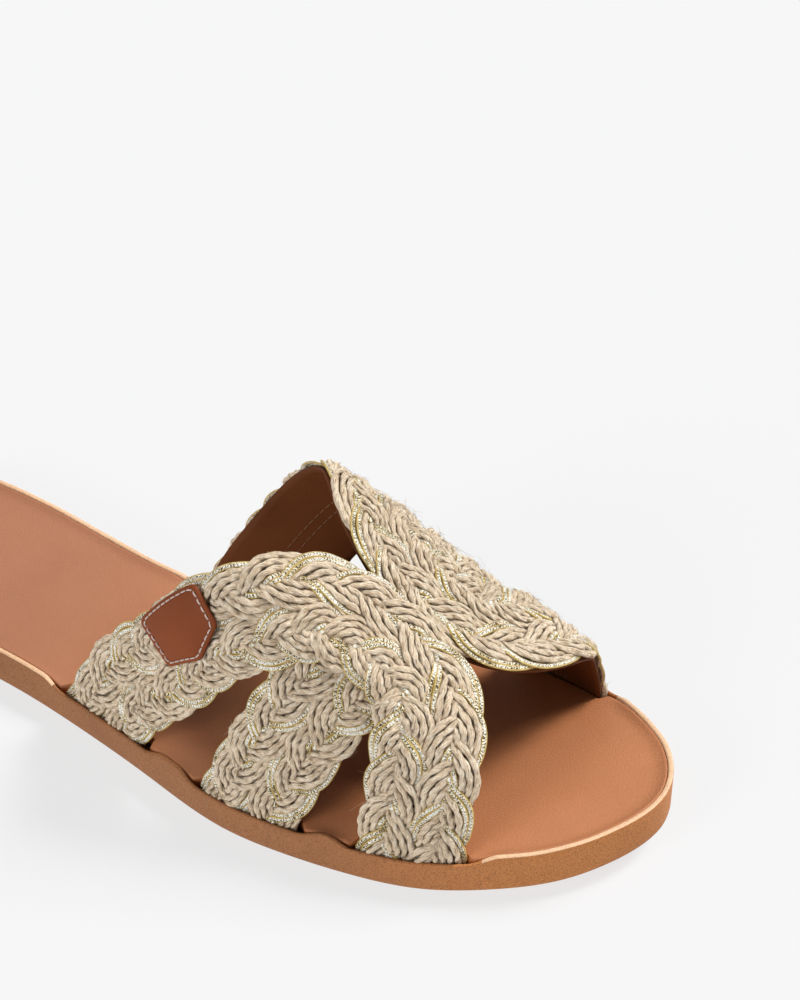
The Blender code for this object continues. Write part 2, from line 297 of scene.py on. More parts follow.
EDGE_POINTS = sole_outline(EDGE_SAMPLES)
TOE_AT = int(EDGE_POINTS[:, 0].argmax())
CENTRE = (EDGE_POINTS.min(axis=0) + EDGE_POINTS.max(axis=0)) / 2


def lateral_edge(x):
    side = EDGE_POINTS[: TOE_AT + 1]
    return np.interp(x, side[:, 0], side[:, 1])


def medial_edge(x):
    side = EDGE_POINTS[TOE_AT:][::-1]
    return np.interp(x, side[:, 0], side[:, 1])


def spring(x):
    return SPRING * np.clip((np.asarray(x, float) - SPRING_FROM) / (LENGTH - SPRING_FROM), 0, None) ** 2


ridge = smooth([row[0] for row in RIDGE], [row[1:] for row in RIDGE])


def last_point(x, angle):
    """The last's surface at a length and an angle in radians. Past 90 degrees it runs straight down."""
    height, middle = np.moveaxis(ridge(x), -1, 0)
    half = np.where(angle < 0, middle - lateral_edge(x), medial_edge(x) - middle) - LAST_INSET
    foot = LAST_FOOT + spring(x)
    turn = np.minimum(np.abs(angle), np.pi / 2)
    past = np.abs(angle) - turn
    z = foot + (height - foot) * (np.cos(turn) * (1 + SHOULDER * np.sin(turn) ** 2) - past * (1 + SHOULDER))
    pressed = PRESSED * ease((PRESSED_FROM - (z - foot)) / PRESSED_FROM)
    y = middle + np.where(angle < 0, -1, 1) * (half * np.sin(turn) + pressed)
    return np.stack(np.broadcast_arrays(x, y, z), axis=-1)


def last_frame(x, angle):
    """Slopes of the last along x and along the angle, and its outward normal."""
    along = last_point(x + 0.5, angle) - last_point(x - 0.5, angle)
    round_it = (last_point(x, angle + 1e-3) - last_point(x, angle - 1e-3)) / 2e-3
    return along, round_it, unit(np.cross(along, round_it))


class Strap:
    """A route on the last, measured by its arc length, with places to either side of it."""

    def __init__(self, route, sink, flare):
        self.flare = flare
        route = np.array(route, float)
        knots = np.r_[0, np.cumsum(np.linalg.norm(np.diff(route, axis=0), axis=1))]
        self.route = smooth(knots, np.c_[route[:, 0], np.radians(route[:, 1])])
        self.knots = np.linspace(0, knots[-1], ROUTE_SAMPLES)
        points = last_point(*self.route(self.knots).T)
        self.lengths = np.r_[0, np.cumsum(np.linalg.norm(np.diff(points, axis=0), axis=1))]
        self.length = self.lengths[-1]
        self.sink = smooth(SINK_SAMPLES, sink)

    def width(self, along):
        first, first_length, last, last_length = self.flare
        return (1 + first * ease(1 - along / first_length)
                + last * ease(1 - (self.length - along) / last_length))

    def point(self, along, across, lift):
        """Points and outward normals at an arc length, a distance to one side and a height above the last."""
        along, across, lift = np.broadcast_arrays(along, across, lift)
        knot = np.interp(along, self.lengths, self.knots)
        x, angle = np.moveaxis(self.route(knot), -1, 0)
        ahead = last_point(*np.moveaxis(self.route(knot + 0.1), -1, 0))
        normal = last_frame(x, angle)[2]
        side = unit(np.cross(normal, ahead - last_point(x, angle)))
        for _ in range(STEPS_ACROSS):
            move = side * (across / STEPS_ACROSS)[..., None]
            slope_x, slope_angle, _ = last_frame(x, angle)
            xx = (slope_x**2).sum(-1)
            xa = (slope_x * slope_angle).sum(-1)
            aa = (slope_angle**2).sum(-1)
            move_x = (move * slope_x).sum(-1)
            move_angle = (move * slope_angle).sum(-1)
            x = x + (aa * move_x - xa * move_angle) / (xx * aa - xa * xa)
            angle = angle + (xx * move_angle - xa * move_x) / (xx * aa - xa * xa)
            normal = last_frame(x, angle)[2]
            side = unit(side - (side * normal).sum(-1, keepdims=True) * normal)
        depth = np.clip(self.sink(along / self.length), 0, None)
        return last_point(x, angle) + normal * (lift - depth)[..., None], normal


def place(points):
    points = np.array(points, float)
    points[..., :2] -= CENTRE
    return points * MM


def add_mesh(name, points, faces, uvs=None, material=None, slots=None):
    """A smooth mesh from points in millimetres, quads or triangles, and a UV for each corner of each face."""
    mesh = bpy.data.meshes.new(name)
    faces = np.asarray(faces)
    count, corners = faces.shape
    mesh.vertices.add(len(points))
    mesh.vertices.foreach_set("co", place(points).ravel())
    mesh.loops.add(faces.size)
    mesh.loops.foreach_set("vertex_index", faces.ravel())
    mesh.polygons.add(count)
    mesh.polygons.foreach_set("loop_start", np.arange(0, faces.size, corners))
    mesh.polygons.foreach_set("use_smooth", np.ones(count, bool))
    if uvs is not None:
        layer = mesh.uv_layers.new(name="UVMap")
        layer.data.foreach_set("uv", np.asarray(uvs, float).ravel())
    for one in material if isinstance(material, (list, tuple)) else [material]:
        mesh.materials.append(one)
    if slots is not None:
        mesh.polygons.foreach_set("material_index", slots)
    mesh.update()
    mesh.validate()
    made = bpy.data.objects.new(name, mesh)
    bpy.context.scene.collection.objects.link(made)
    return made


def tube(path, normals, radius, around, flat=1.0):
    """Rings round a path: points, quads and each corner's UV, which is turns round it and length along it."""
    ahead = unit(np.gradient(path, axis=0))
    side = unit(np.cross(normals, ahead))
    up = np.cross(ahead, side)
    length = np.r_[0, np.cumsum(np.linalg.norm(np.diff(path, axis=0), axis=1))]
    angle = np.arange(around) * 2 * np.pi / around - np.pi / 2
    reach = np.broadcast_to(np.asarray(radius, float).reshape(-1, 1), (len(path), around))
    ring = path[:, None] + side[:, None] * (reach * np.cos(angle))[..., None]
    ring = ring + up[:, None] * (reach * np.sin(angle) * flat)[..., None]
    rows, columns = np.meshgrid(np.arange(len(path) - 1), np.arange(around), indexing="ij")
    following = (columns + 1) % around
    quads = np.stack([rows * around + columns, rows * around + following,
                      (rows + 1) * around + following, (rows + 1) * around + columns], axis=-1)
    turned = angle / (2 * np.pi)
    share = np.stack([turned[columns], turned[columns] + 1 / around,
                      turned[columns] + 1 / around, turned[columns]], axis=-1)
    spot = np.stack([length[rows], length[rows], length[rows + 1], length[rows + 1]], axis=-1)
    uvs = np.stack([share, spot], axis=-1)
    return ring.reshape(-1, 3), quads.reshape(-1, 4), uvs.reshape(-1, 4, 2)


def twisted_plies(path, normals, radius, pitch, turn):
    """Two plies wound round each other along a yarn's path, each a tube."""
    ahead = unit(np.gradient(path, axis=0))
    side = unit(np.cross(normals, ahead))
    up = np.cross(ahead, side)
    angle = np.arange(len(path)) * CORD_STEP / pitch * 2 * np.pi + turn
    reach = (radius * (1 - PLY_RADIUS))[:, None]
    made = []
    for half_turn in (0, np.pi):
        spin = angle[:, None] + half_turn
        centre = path + reach * (side * np.cos(spin) + PLY_FLAT * up * np.sin(spin))
        made.append(tube(centre, normals, radius * PLY_RADIUS, THIN_SIDES))
    return made


def join_tubes(tubes):
    points, faces, uvs = [], [], []
    start = 0
    for one_points, one_faces, one_uvs in tubes:
        points.append(one_points)
        faces.append(one_faces + start)
        uvs.append(one_uvs)
        start += len(one_points)
    return np.concatenate(points), np.concatenate(faces), np.concatenate(uvs)


def wobble(random, along, size, lengths=(9.0, 21.0)):
    """A slow uneven drift along a cord."""
    drift = np.zeros_like(along)
    for length in lengths:
        stretch = length * random.uniform(0.8, 1.25)
        drift += np.sin(along / stretch * 2 * np.pi + random.uniform(0, 2 * np.pi))
    return size * drift / len(lengths)


def strand_cords(order):
    """Kind, radius and place across the strand of each of its cords."""
    radii = [JUTE_RADIUS if kind == "J" else METAL_RADIUS for kind in order]
    edges = np.r_[0, np.cumsum(2 * np.array(radii))] * PACKING
    middles = (edges[:-1] + edges[1:]) / 2 - edges[-1] / 2
    return list(zip(order, radii, middles)), edges[-1] / 2


def cord_path(strap, braid, phase, offset, spread, random):
    """One cord of a strand: it swings from side to side and is on top while it moves out from the middle."""
    along = np.arange(0, strap.length, CORD_STEP)
    swing = BRAID_REACH - spread
    turn = 2 * np.pi * along / STRAND_PERIOD + phase
    sway = np.sin(turn) * (1 + SQUARENESS * np.cos(turn) ** 2)
    slope = np.gradient(swing * sway, CORD_STEP)
    stretch = np.sqrt(1 + slope**2)
    on_top = 0.5 + 0.5 * np.sin(2 * turn)
    dome = DOME * (0.5 - (offset / spread) ** 2) * on_top
    offset = offset * (1 + TAPER * (on_top - TAPER_EVEN)) + wobble(random, along, DRIFT_ACROSS)
    place_along = along - offset * slope / stretch
    place_across = braid * BRAID_MIDDLE + swing * sway + offset / stretch
    place_across *= strap.width(place_along)
    rise = LAYER * np.sin(2 * (turn + LEAD * offset * np.cos(turn)))
    rise = np.where(rise < 0, UNDER_SHARE * rise, rise)
    lift = MIDDLE + rise + dome + wobble(random, along, DRIFT_UP) * (0.3 + 0.7 * on_top)
    keep = (place_along > 0) & (place_along < strap.length)
    path, normals = strap.point(np.clip(place_along, 0, strap.length), place_across, lift)
    keep &= path[:, 2] > LEG_END + spring(path[:, 0])
    return path[keep], normals[keep], lift[keep] > MIDDLE


def braid_cords(name, strap, random):
    """All jute tubes and all metallic tubes of a strap."""
    jute, metal, paths = [], [], []
    shift = random.uniform(0, 2 * np.pi)
    for braid in (-1, 1):
        for k, order in enumerate(STRANDS):
            cords, spread = strand_cords(order if braid < 0 else order[::-1])
            for kind, radius, offset in cords:
                phase = 2 * np.pi * k / 3 + shift
                path, normals, on_top = cord_path(strap, braid, phase, offset, spread, random)
                length = np.arange(len(path)) * CORD_STEP
                if kind == "J":
                    thick = radius * (1 + wobble(random, length, THICK_DRIFT, THICK_DRIFTS))
                    pitch = PLY_PITCH * random.uniform(*PITCH_RANGE)
                    jute += twisted_plies(path, normals, thick, pitch, random.uniform(0, 2 * np.pi))
                    paths.append((path, normals, thick, np.flatnonzero(on_top)))
                else:
                    metal.append(tube(path, normals, radius, METAL_SIDES, METAL_FLAT))
    return jute, metal, paths


def nodes_of(name):
    material = bpy.data.materials.new(name)
    material.use_nodes = True
    tree = material.node_tree
    return material, tree, tree.nodes["Principled BSDF"]


def add_node(tree, kind, inputs=None, **settings):
    node = tree.nodes.new(kind)
    for key, value in settings.items():
        setattr(node, key, value)
    for key, value in (inputs or {}).items():
        if isinstance(value, bpy.types.NodeSocket):
            tree.links.new(value, node.inputs[key])
        else:
            node.inputs[key].default_value = value
    return node


def ramp(tree, factor, stops):
    node = add_node(tree, "ShaderNodeValToRGB", {"Fac": factor})
    bar = node.color_ramp
    while len(bar.elements) < len(stops):
        bar.elements.new(0.5)
    for element, (at, colour) in zip(bar.elements, stops):
        element.position = at
        element.color = (*colour, 1)
    return node.outputs["Color"]


def noise(tree, vector, scale, detail=2.0, roughness=0.5):
    return add_node(tree, "ShaderNodeTexNoise", {
        "Vector": vector, "Scale": scale, "Detail": detail, "Roughness": roughness}).outputs["Fac"]


def object_place(tree):
    return add_node(tree, "ShaderNodeTexCoord").outputs["Object"]


def mix(tree, kind, factor, a, b):
    node = add_node(tree, "ShaderNodeMix", data_type="RGBA", blend_type=kind)
    for socket, value in zip((node.inputs[0], node.inputs[6], node.inputs[7]), (factor, a, b)):
        if isinstance(value, bpy.types.NodeSocket):
            tree.links.new(value, socket)
        else:
            socket.default_value = value if isinstance(value, float) else (*value, 1)
    return node.outputs[2]


def maths(tree, operation, *values):
    node = add_node(tree, "ShaderNodeMath", operation=operation)
    for socket, value in zip(node.inputs, values):
        if isinstance(value, bpy.types.NodeSocket):
            tree.links.new(value, socket)
        else:
            socket.default_value = value
    return node.outputs[0]


def bump(tree, height, strength, distance):
    return add_node(tree, "ShaderNodeBump", {
        "Height": height, "Strength": strength, "Distance": distance}).outputs["Normal"]


def fibre_place(tree, around, along):
    """Noise coordinates that run with a cord: round it by the UV's u and along it by v, with no seam."""
    parts = add_node(tree, "ShaderNodeSeparateXYZ", {
        "Vector": add_node(tree, "ShaderNodeUVMap", uv_map="UVMap").outputs["UV"]}).outputs
    turn = maths(tree, "MULTIPLY", parts["X"], 2 * math.pi)
    return add_node(tree, "ShaderNodeCombineXYZ", {
        "X": maths(tree, "MULTIPLY", maths(tree, "COSINE", turn), around),
        "Y": maths(tree, "MULTIPLY", maths(tree, "SINE", turn), around),
        "Z": maths(tree, "MULTIPLY", parts["Y"], along)}).outputs["Vector"]


def paint_shade_in_gaps(tree, colour, reach, deep, near=0.2, open_at=0.62):
    """Paints shade into a colour: multiplies it by another where neighbouring surfaces within a reach close
    it in.
    """
    gaps = add_node(tree, "ShaderNodeAmbientOcclusion", {"Distance": reach}, samples=4).outputs["AO"]
    return mix(tree, "MULTIPLY", 1.0, colour, ramp(tree, gaps, ((near, deep), (open_at, (1.0, 1.0, 1.0)))))


def jute_material():
    material, tree, shader = nodes_of("jute_yarn")
    where = object_place(tree)
    fibres = noise(tree, fibre_place(tree, 0.8, 0.25), 2.6, 5.0, 0.68)
    colour = ramp(tree, fibres, ((0.34, (0.26, 0.155, 0.07)), (0.43, (0.72, 0.55, 0.37)),
                                 (0.54, (0.95, 0.80, 0.61)), (0.66, (1.0, 0.96, 0.85))))
    tone = ramp(tree, noise(tree, where, 260.0, 2.0), ((0.3, (0.88, 0.84, 0.79)), (0.7, (1.0, 1.0, 1.0))))
    # painted shade: the yarns' colour darkens where the cords close each other in, in the folds of the braid
    colour = paint_shade_in_gaps(tree, colour, 0.0018, (0.34, 0.28, 0.22))
    tree.links.new(mix(tree, "MULTIPLY", 1.0, colour, tone), shader.inputs["Base Color"])
    tree.links.new(bump(tree, fibres, 1.0, 0.0006), shader.inputs["Normal"])
    shader.inputs["Roughness"].default_value = 0.82
    shader.inputs["Sheen Weight"].default_value = 0.25
    shader.inputs["Sheen Tint"].default_value = (0.95, 0.85, 0.7, 1)
    return material


def metal_material():
    material, tree, shader = nodes_of("metallic_cord")
    parts = add_node(tree, "ShaderNodeSeparateXYZ", {
        "Vector": add_node(tree, "ShaderNodeUVMap", uv_map="UVMap").outputs["UV"]}).outputs
    flank = maths(tree, "ABSOLUTE", maths(tree, "COSINE", maths(tree, "MULTIPLY", parts["X"], 2 * math.pi)))
    uneven = noise(tree, fibre_place(tree, 0.8, 0.7), 1.3, 3.0)
    shifted = maths(tree, "ADD", parts["Y"], maths(tree, "MULTIPLY", flank, 0.35))
    shifted = maths(tree, "ADD", shifted, maths(tree, "MULTIPLY", uneven, 2.4))
    rib = maths(tree, "ABSOLUTE", maths(tree, "SINE", maths(tree, "MULTIPLY", shifted, math.pi / 0.8)))
    patchy = noise(tree, fibre_place(tree, 1.2, 1.1), 2.4, 3.0, 0.7)
    worn = noise(tree, object_place(tree), 210.0, 2.0)
    tick = maths(tree, "ADD", rib, maths(tree, "MULTIPLY", maths(tree, "SUBTRACT", patchy, 0.5), 2.6))
    tick = maths(tree, "ADD", tick, maths(tree, "MULTIPLY", maths(tree, "SUBTRACT", worn, 0.5), 2.0))
    silver = ramp(tree, tick, ((0.2, (0.08, 0.05, 0.012)), (0.44, (0.50, 0.37, 0.13)),
                               (0.64, (0.88, 0.80, 0.56)), (0.9, (1.0, 0.99, 0.92))))
    side = ramp(tree, flank, ((0.5, (0.0, 0.0, 0.0)), (0.7, (1.0, 1.0, 1.0))))
    tree.links.new(mix(tree, "MIX", side, silver, (0.74, 0.53, 0.16)), shader.inputs["Base Color"])
    height = maths(tree, "ADD", rib, maths(tree, "MULTIPLY", patchy, 2.0))
    tree.links.new(bump(tree, height, 1.0, 0.00014), shader.inputs["Normal"])
    shader.inputs["Metallic"].default_value = 0.3
    shader.inputs["Roughness"].default_value = 0.24
    shader.inputs["Specular IOR Level"].default_value = 1.0
    return material


def leather_material(name, fleck=None, heel=None, heel_shade_to=(-0.06, 0.05), painted_shade_tone=None):
    """Grained leather: broad tone, pores between small plates, and fine wrinkles.

    A fleck is a scale, a dark tone and a light tone. The heel's tone is painted shade, darker towards the
    heel, which runs out between two places along X, in metres. A painted shade tone darkens it where surfaces
    close it in.
    """
    material, tree, shader = nodes_of(name)
    dark, light, grain, roughness, strength, shine = LEATHERS[name]
    where = object_place(tree)
    broad = noise(tree, where, 28.0, 3.0)
    plates = add_node(tree, "ShaderNodeTexVoronoi", {"Vector": where, "Scale": grain},
                      feature="DISTANCE_TO_EDGE").outputs["Distance"]
    fine = noise(tree, where, grain * 1.7, 4.0, 0.6)
    colour = ramp(tree, broad, ((0.3, dark), (0.7, light)))
    if fleck:
        scale, below, above = fleck
        spots = noise(tree, where, scale, 3.0, 0.7)
        spots = ramp(tree, spots, ((0.38, below), (0.5, (1, 1, 1)), (0.66, above)))
        colour = mix(tree, "MULTIPLY", 1.0, colour, spots)
    # painted shade: the colour falls off towards the heel, standing in for light that fades away from the toe
    if heel:
        length = add_node(tree, "ShaderNodeSeparateXYZ", {"Vector": where}).outputs["X"]
        share = add_node(tree, "ShaderNodeMapRange", {
            "Value": length, "From Min": heel_shade_to[0], "From Max": heel_shade_to[1]}).outputs["Result"]
        colour = mix(tree, "MULTIPLY", 1.0, colour, ramp(tree, share, ((0.0, heel), (1.0, (1.0, 1.0, 1.0)))))
    # painted shade: darker where nearby surfaces close the leather in, as under the straps over the footbed
    if painted_shade_tone:
        colour = paint_shade_in_gaps(tree, colour, 0.05, painted_shade_tone, 0.3, 0.8)
    tree.links.new(colour, shader.inputs["Base Color"])
    height = maths(tree, "ADD", maths(tree, "MINIMUM", plates, 0.12), maths(tree, "MULTIPLY", fine, 0.25))
    tree.links.new(bump(tree, height, strength, 0.0004), shader.inputs["Normal"])
    dull = add_node(tree, "ShaderNodeMapRange", {
        "Value": fine, "From Min": 0.3, "From Max": 0.7,
        "To Min": roughness - 0.06, "To Max": roughness + 0.08})
    tree.links.new(dull.outputs["Result"], shader.inputs["Roughness"])
    shader.inputs["Specular IOR Level"].default_value = shine
    return material


def thread_material(name, colour):
    material, tree, shader = nodes_of(name)
    twist = noise(tree, fibre_place(tree, 1.2, 0.9), 3.0, 2.0)
    tree.links.new(ramp(tree, twist, ((0.3, tuple(0.6 * c for c in colour)), (0.6, colour))),
                   shader.inputs["Base Color"])
    tree.links.new(bump(tree, twist, 0.6, 0.0002), shader.inputs["Normal"])
    shader.inputs["Roughness"].default_value = 0.7
    return material


def leg_spans(straps):
    """Where each strap goes down beside the footbed: side, rear x and front x."""
    spans = []
    for strap in straps.values():
        along = np.linspace(0, strap.length, ROUTE_SAMPLES)
        reach = 2 * BRAID_HALF * strap.width(along)
        edges = np.stack([strap.point(along, side * reach, 0.0)[0] for side in (-1, 1)])
        above = edges[..., 2] - spring(edges[..., 0])
        low = (above > FOOTBED_TOP - LEG_BELOW) & (above < FOOTBED_TOP + LEG_ABOVE)
        for end in (along < strap.length / 2, along > strap.length / 2):
            found = edges[low & end]
            if len(found):
                rear, front = found[:, 0].min(), found[:, 0].max()
                spans.append((np.sign(found[0, 1]), rear - NOTCH_MARGIN, front + NOTCH_MARGIN))
    return spans


def beside_leg(points, spans, soft):
    """1 where a point of the outline is beside a leg, falling to 0 over a soft length."""
    near = np.zeros(len(points))
    for side, rear, front in spans:
        inside = np.minimum(points[:, 0] - rear, front - points[:, 0])
        near = np.maximum(near, ease(inside / soft + 1) * (np.sign(points[:, 1]) == side))
    return near


def inset_ring(points, distance, height):
    ahead = np.roll(points, -1, axis=0) - np.roll(points, 1, axis=0)
    inward = unit(np.stack([-ahead[:, 1], ahead[:, 0]], axis=1))
    moved = points + inward * np.broadcast_to(distance, len(points))[:, None]
    return np.c_[moved, np.broadcast_to(height, len(points)) + spring(moved[:, 0])]


def stacked_rings(name, rings, materials, bands=(0, 0), columns=None):
    """A closed solid from rings, filled at both ends. Some bands and columns can have the second material."""
    count = len(rings[0])
    half = count // 2
    faces, slots = [], []
    for band in range(len(rings) - 1):
        i = np.arange(count)
        j = (i + 1) % count
        faces.append(np.stack([band * count + i, band * count + j,
                               (band + 1) * count + j, (band + 1) * count + i], axis=1))
        slots.append(columns.astype(int) if bands[0] <= band < bands[1] else np.zeros(count, int))
    for start, flip in ((0, True), ((len(rings) - 1) * count, False)):
        i = np.arange(half)
        fill = np.stack([start + i, start + i + 1, start + (count - i - 1) % count,
                         start + (count - i) % count], axis=1)
        faces.append(fill[:, ::-1] if flip else fill)
        slots.append(np.full(half, 0))
    return add_mesh(name, np.concatenate(rings), np.concatenate(faces), material=materials,
                    slots=np.concatenate(slots))


def outsole_piece(points, spans, side_material, edge_material):
    """A cup with a low rim, which dips and leans out beside each leg. Elsewhere the rim's edge is light."""
    leg = beside_leg(points, spans, RIM_SOFT)
    wall = RIM_WALL + (RIM_WALL_BY_LEG - RIM_WALL) * leg
    random = np.random.default_rng(5)
    around = np.arange(len(points)) / len(points) * ROUND_SOLE
    top = RIM_TOP - RIM_DIP * leg + wobble(random, around, RIM_WAVE, RIM_WAVES)
    lean = -RIM_LEAN * leg
    rings = [inset_ring(points, inset, height) for inset, height in SOLE_FOOT]
    rings += [inset_ring(points, lean * share, SIDE_FROM + (top - SIDE_FROM - SIDE_BELOW_TOP) * share)
              for share in (0, 0.25, 0.5, 0.75, 1)]
    outer = len(rings)
    rings += [inset_ring(points, lean + inset, top - below) for inset, below in RIM_OUTER]
    rings += [inset_ring(points, lean + wall - inset, top - below) for inset, below in RIM_INNER]
    inner = len(rings)
    rings += [inset_ring(points, wall + lean / 2, top - RIM_LEANS_BY), inset_ring(points, wall, FLOOR)]
    light = leg < LIGHT_RIM
    for side in (-1, 1):
        rears, fronts = zip(*[span[1:] for span in spans if span[0] == side])
        beyond = (points[:, 0] < min(rears)) | (points[:, 0] > max(fronts))
        light &= (np.sign(points[:, 1]) != side) | beyond
    return stacked_rings("cup_sole", rings, [side_material, edge_material], (outer, inner), light)


def footbed_piece(points, spans, material):
    """Leather that comes up to the rim, with a notch for each leg."""
    start = RIM_WALL + FOOTBED_CLEAR
    depth = LAST_INSET - PRESSED - LINING_UNDER + NOTCH_CLEAR - start
    leg = beside_leg(points, spans, NOTCH_SOFT)
    edge = start + depth * leg
    rise = (RIM_TOP - FOOTBED_BELOW_RIM - FOOTBED_TOP) * (1 - beside_leg(points, spans, FOOTBED_SOFT))
    under = FLOOR + GAP
    rings = [inset_ring(points, edge + FOOTBED_CHAMFER, under),
             inset_ring(points, edge, under + FOOTBED_CHAMFER)]
    for inset, lower, lift in FOOTBED_EDGE:
        rings.append(inset_ring(points, edge + inset, FOOTBED_TOP - lower + rise * lift))
    return stacked_rings("footbed_leather", rings, [material])


def strap_sheet(strap, half, top, under, columns=14, step=1.6):
    """A thin closed sheet under a strap's cords."""
    along = np.arange(0, strap.length, step)
    along, spread = np.meshgrid(along, np.linspace(-half, half, columns), indexing="ij")
    grid = along, spread * strap.width(along)
    upper = strap.point(*grid, top)[0]
    lower = strap.point(*grid, under)[0]
    keep = (upper[..., 2] > LEG_END + spring(upper[..., 0])).all(axis=1)
    upper, lower = upper[keep], lower[keep]
    loops = np.concatenate([upper, lower[:, ::-1]], axis=1)
    rows, around = loops.shape[:2]
    i, j = np.meshgrid(np.arange(rows - 1), np.arange(around), indexing="ij")
    k = (j + 1) % around
    faces = np.stack([i * around + j, i * around + k, (i + 1) * around + k, (i + 1) * around + j], -1)
    ends = []
    for row, flip in ((0, False), (rows - 1, True)):
        c = np.arange(columns - 1)
        cap = np.stack([row * around + c, row * around + 2 * columns - 1 - c,
                        row * around + 2 * columns - 2 - c, row * around + c + 1], -1)
        ends.append(cap[:, ::-1] if flip else cap)
    return loops.reshape(-1, 3), np.concatenate([faces.reshape(-1, 4)] + ends)


def stitches(strap, across, lift, pitch, length, radius, up):
    """A row of short threads on a strap, each dipping at its ends."""
    made = []
    for start in np.arange(4, strap.length - 4, pitch):
        share = np.linspace(0, 1, 7)
        dip = lift + up * (np.sin(np.pi * share) ** 0.5 * radius * 1.2 - radius * 0.6)
        path, normals = strap.point(start + share * length, across, dip)
        if (path[:, 2] > FOOTBED_TOP + spring(path[:, 0])).all():
            made.append(tube(path, normals, radius, THIN_SIDES))
    return made


def hairs(paths, count, random):
    """Loose fibres that stand off the jute."""
    made = []
    sizes = np.array([len(on_top) for _, _, _, on_top in paths])
    for pick in random.choice(len(paths), count, p=sizes / sizes.sum()):
        path, normals, thick, on_top = paths[pick]
        i = min(max(random.choice(on_top), 2), len(path) - 3)
        ahead = unit(path[i + 1] - path[i - 1])
        side = np.cross(normals[i], ahead)
        lean = random.uniform(-1.2, 1.2)
        out = normals[i] * math.cos(lean) + side * math.sin(lean)
        length = random.uniform(0.5, 1.4) + 3.0 * random.uniform(0, 1) ** 5
        drift = unit(ahead * random.uniform(-1, 1) + side * random.uniform(-1, 1) - 0.4 * out)
        share = np.linspace(0, 1, 6)[:, None]
        rise = share * unit(ahead * random.choice([-1, 1]) + out * 0.75)
        line = path[i] + out * thick[i] * 0.85 + length * (rise + share**2 * drift * random.uniform(0.5, 1.3))
        radius = random.uniform(0.035, 0.06) * (1 - 0.5 * share)
        made.append(tube(line, np.tile(out, (len(share), 1)), radius, HAIR_SIDES))
    return made


def patch_point(spot, lift):
    x, angle = spot[..., 0], np.radians(spot[..., 1])
    return last_point(x, angle) + last_frame(x, angle)[2] * np.asarray(lift)[..., None]


def patch_ring(per_side, round_off=0.12):
    """Points round the patch, its corners slightly rounded."""
    corners = np.array(PATCH, float)
    ring = []
    for i, corner in enumerate(corners):
        before, after = corners[i - 1], corners[(i + 1) % len(corners)]
        start, end = corner + (before - corner) * round_off, corner + (after - corner) * round_off
        for t in np.linspace(0, 1, 4):
            ring.append((1 - t) ** 2 * start + 2 * t * (1 - t) * corner + t * t * end)
        reach = after + (corner - after) * round_off
        ring += [end + (reach - end) * t for t in np.linspace(0, 1, per_side)[1:-1]]
    return np.array(ring)


def patch_piece(material):
    """The patch as rings that shrink to its middle underneath and on top, with a furrow for the stitches."""
    ring = patch_ring(8)
    middle = ring.mean(axis=0)
    rows = [(share, PATCH_LIFT + over) for share, over in PATCH_UNDER]
    rows += [(share, PATCH_LIFT + PATCH_THICK + over) for share, over in PATCH_TOP]
    rings = [patch_point(middle + (ring - middle) * max(share, 1e-3), lift) for share, lift in rows]
    count = len(ring)
    faces = []
    for band in range(len(rings) - 1):
        i = np.arange(count)
        j = (i + 1) % count
        faces.append(np.stack([band * count + i, (band + 1) * count + i,
                               (band + 1) * count + j, band * count + j], axis=1))
    return add_mesh("leather_patch", np.concatenate(rings), np.concatenate(faces), material=material)


def patch_stitches():
    """Pale stitches that run round the patch just inside its edge."""
    ring = patch_ring(30)
    middle = ring.mean(axis=0)
    line = patch_point(middle + (ring - middle) * FURROW, PATCH_LIFT + PATCH_THICK + 0.02)
    line = np.concatenate([line, line[:1]])
    length = np.r_[0, np.cumsum(np.linalg.norm(np.diff(line, axis=0), axis=1))]
    count = round(length[-1] / PATCH_STITCH_PITCH)
    normal = last_frame(np.array(middle[0]), np.radians(np.array(middle[1])))[2]
    made = []
    for start in np.arange(count) * length[-1] / count:
        share = np.linspace(0, 1, 7)
        at = (start + share * PATCH_STITCH_LENGTH) % length[-1]
        path = np.stack([np.interp(at, length, line[:, axis]) for axis in range(3)], axis=1)
        path = path + normal * (np.sin(np.pi * share) ** 0.5 * 0.28 - 0.16)[:, None]
        made.append(tube(path, np.tile(normal, (len(share), 1)), PATCH_STITCH_RADIUS, THIN_SIDES))
    return made


def make_upper(straps):
    jute, metal = jute_material(), metal_material()
    lining_leather = leather_material("lining_leather")
    lining_thread = thread_material("lining_thread", (0.22, 0.10, 0.045))
    pieces = []
    fuzz = []
    for number, (name, strap) in enumerate(straps.items()):
        random = np.random.default_rng(40 + number)
        jute_tubes, metal_tubes, paths = braid_cords(name, strap, random)
        pieces.append(add_mesh(name + "_jute", *join_tubes(jute_tubes), material=jute))
        pieces.append(add_mesh(name + "_metallic", *join_tubes(metal_tubes), material=metal))
        points, faces = strap_sheet(strap, 2 * BRAID_HALF - LINING_INSIDE, LINING_TOP, LINING_UNDER)
        pieces.append(add_mesh(name + "_lining", points, faces, material=lining_leather))
        threads = []
        for across in LINING_ROWS:
            threads += stitches(strap, across, LINING_UNDER, pitch=3.1, length=2.2, radius=0.17, up=-1)
        pieces.append(add_mesh(name + "_lining_stitches", *join_tubes(threads), material=lining_thread))
        fuzz += hairs(paths, int(strap.length * HAIRS_PER_MM), random)
    pieces.append(add_mesh("jute_fibres", *join_tubes(fuzz), material=jute))
    for piece in pieces:
        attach(piece, "root")
        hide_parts("upper")


